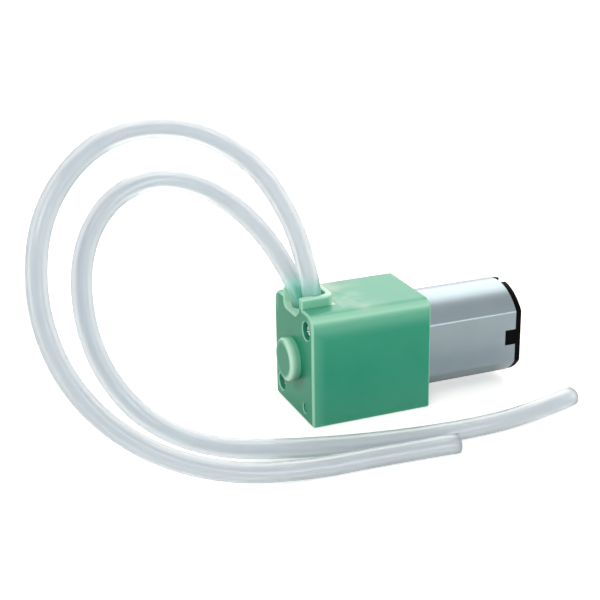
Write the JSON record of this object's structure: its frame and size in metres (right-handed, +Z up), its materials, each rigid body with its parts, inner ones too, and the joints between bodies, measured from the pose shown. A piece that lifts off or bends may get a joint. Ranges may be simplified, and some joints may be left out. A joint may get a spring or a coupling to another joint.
{
  "type": "micro ring pump",
  "caption": "Miniature peristaltic ring pump: green moulded pump head on a flatted gearmotor, with two translucent soft tubes looping from its top collar.",
  "frame": {"origin": "centre of the pump housing's bottom face", "axes": "+X along the motor axis from the pump end towards the motor, +Z up"},
  "size_m": [0.0649, 0.0253, 0.0388],
  "materials": {
    "green_plastic": "satin moulded plastic",
    "black_plastic": "moulded plastic",
    "gear_plastic": "moulded acetal",
    "steel": "plated sheet steel",
    "screw_steel": "plated",
    "brass": "machined",
    "bronze": "sintered",
    "magnet": "sintered ferrite",
    "copper": "enamelled wire",
    "silicone": "translucent, smooth"
  },
  "bodies": {
    "pump_body": {"pump_housing": "green_plastic", "gear_case": "gear_plastic", "housing_screws": "screw_steel", "rotor_front_bush": "bronze", "rotor_rear_bush": "bronze", "motor_plate": "brass", "motor_screws": "screw_steel", "motor_can": "steel", "end_bell": "black_plastic", "terminals": "screw_steel", "field_magnets": "magnet", "motor_front_bush": "bronze", "motor_rear_bush": "bronze", "brushes": "brass", "tube_loop": "silicone", "inlet_tube": "silicone", "outlet_tube": "silicone"},
    "armature": {"motor_shaft": "steel", "motor_pinion": "brass", "armature_core": "steel", "armature_windings": "copper", "commutator": "copper"},
    "stage1_carrier_body": {"stage1_carrier": "brass", "stage1_pins": "steel"},
    "stage2_carrier_body": {"stage2_carrier": "brass", "stage2_pins": "steel"},
    "rotor": {"rotor_shaft": "steel", "eccentric_cam": "brass", "thrust_washers": "steel", "stage3_carrier": "brass", "stage3_pins": "steel"},
    "press_ring_body": {"press_ring": "gear_plastic"},
    "stage1_planet_a_body": {"stage1_planet_a": "gear_plastic"},
    "stage1_planet_b_body": {"stage1_planet_b": "gear_plastic"},
    "stage1_planet_c_body": {"stage1_planet_c": "gear_plastic"},
    "stage2_planet_a_body": {"stage2_planet_a": "brass"},
    "stage2_planet_b_body": {"stage2_planet_b": "brass"},
    "stage2_planet_c_body": {"stage2_planet_c": "brass"},
    "stage3_planet_a_body": {"stage3_planet_a": "brass"},
    "stage3_planet_b_body": {"stage3_planet_b": "brass"},
    "stage3_planet_c_body": {"stage3_planet_c": "brass"}
  },
  "joints": [
    {"name": "motor_spin", "type": "hinge", "parent": "pump_body", "child": "armature", "pos_m": [0.0125, 0, 0.00691], "axis": [1, 0, 0], "continuous": true},
    {"name": "stage1_carrier_spin", "type": "hinge", "parent": "pump_body", "child": "stage1_carrier_body", "pos_m": [0.00352, 0, 0.00691], "axis": [1, 0, 0], "continuous": true},
    {"name": "stage2_carrier_spin", "type": "hinge", "parent": "pump_body", "child": "stage2_carrier_body", "pos_m": [0.00128, 0, 0.00691], "axis": [1, 0, 0], "continuous": true},
    {"name": "rotor_spin", "type": "hinge", "parent": "pump_body", "child": "rotor", "pos_m": [-0.00187, 0, 0.00691], "axis": [1, 0, 0], "continuous": true, "deforming": ["tube_loop"]},
    {"name": "press_ring_orbit", "type": "hinge", "parent": "rotor", "child": "press_ring_body", "pos_m": [-0.0047, 0, 0.00631], "axis": [1, 0, 0], "continuous": true},
    {"name": "stage1_planet_a_spin", "type": "hinge", "parent": "stage1_carrier_body", "child": "stage1_planet_a_body", "pos_m": [0.00462, 0.003, 0.00691], "axis": [1, 0, 0], "continuous": true},
    {"name": "stage1_planet_b_spin", "type": "hinge", "parent": "stage1_carrier_body", "child": "stage1_planet_b_body", "pos_m": [0.00462, -0.0015, 0.00951], "axis": [1, 0, 0], "continuous": true},
    {"name": "stage1_planet_c_spin", "type": "hinge", "parent": "stage1_carrier_body", "child": "stage1_planet_c_body", "pos_m": [0.00462, -0.0015, 0.00431], "axis": [1, 0, 0], "continuous": true},
    {"name": "stage2_planet_a_spin", "type": "hinge", "parent": "stage2_carrier_body", "child": "stage2_planet_a_body", "pos_m": [0.00237, 0.003, 0.00691], "axis": [1, 0, 0], "continuous": true},
    {"name": "stage2_planet_b_spin", "type": "hinge", "parent": "stage2_carrier_body", "child": "stage2_planet_b_body", "pos_m": [0.00237, -0.0015, 0.00951], "axis": [1, 0, 0], "continuous": true},
    {"name": "stage2_planet_c_spin", "type": "hinge", "parent": "stage2_carrier_body", "child": "stage2_planet_c_body", "pos_m": [0.00237, -0.0015, 0.00431], "axis": [1, 0, 0], "continuous": true},
    {"name": "stage3_planet_a_spin", "type": "hinge", "parent": "rotor", "child": "stage3_planet_a_body", "pos_m": [0.00013, 0.003, 0.00691], "axis": [1, 0, 0], "continuous": true},
    {"name": "stage3_planet_b_spin", "type": "hinge", "parent": "rotor", "child": "stage3_planet_b_body", "pos_m": [0.00013, -0.0015, 0.00951], "axis": [1, 0, 0], "continuous": true},
    {"name": "stage3_planet_c_spin", "type": "hinge", "parent": "rotor", "child": "stage3_planet_c_body", "pos_m": [0.00013, -0.0015, 0.00431], "axis": [1, 0, 0], "continuous": true}
  ],
  "couplings": [
    {"joint": "stage1_carrier_spin", "follows": "motor_spin", "ratio": 0.25},
    {"joint": "stage2_carrier_spin", "follows": "motor_spin", "ratio": 0.0625},
    {"joint": "rotor_spin", "follows": "motor_spin", "ratio": 0.015625},
    {"joint": "press_ring_orbit", "follows": "motor_spin", "ratio": -0.015625},
    {"joint": "stage1_planet_a_spin", "follows": "motor_spin", "ratio": -0.75},
    {"joint": "stage1_planet_b_spin", "follows": "motor_spin", "ratio": -0.75},
    {"joint": "stage1_planet_c_spin", "follows": "motor_spin", "ratio": -0.75},
    {"joint": "stage2_planet_a_spin", "follows": "motor_spin", "ratio": -0.1875},
    {"joint": "stage2_planet_b_spin", "follows": "motor_spin", "ratio": -0.1875},
    {"joint": "stage2_planet_c_spin", "follows": "motor_spin", "ratio": -0.1875},
    {"joint": "stage3_planet_a_spin", "follows": "motor_spin", "ratio": -0.046875},
    {"joint": "stage3_planet_b_spin", "follows": "motor_spin", "ratio": -0.046875},
    {"joint": "stage3_planet_c_spin", "follows": "motor_spin", "ratio": -0.046875}
  ]
}
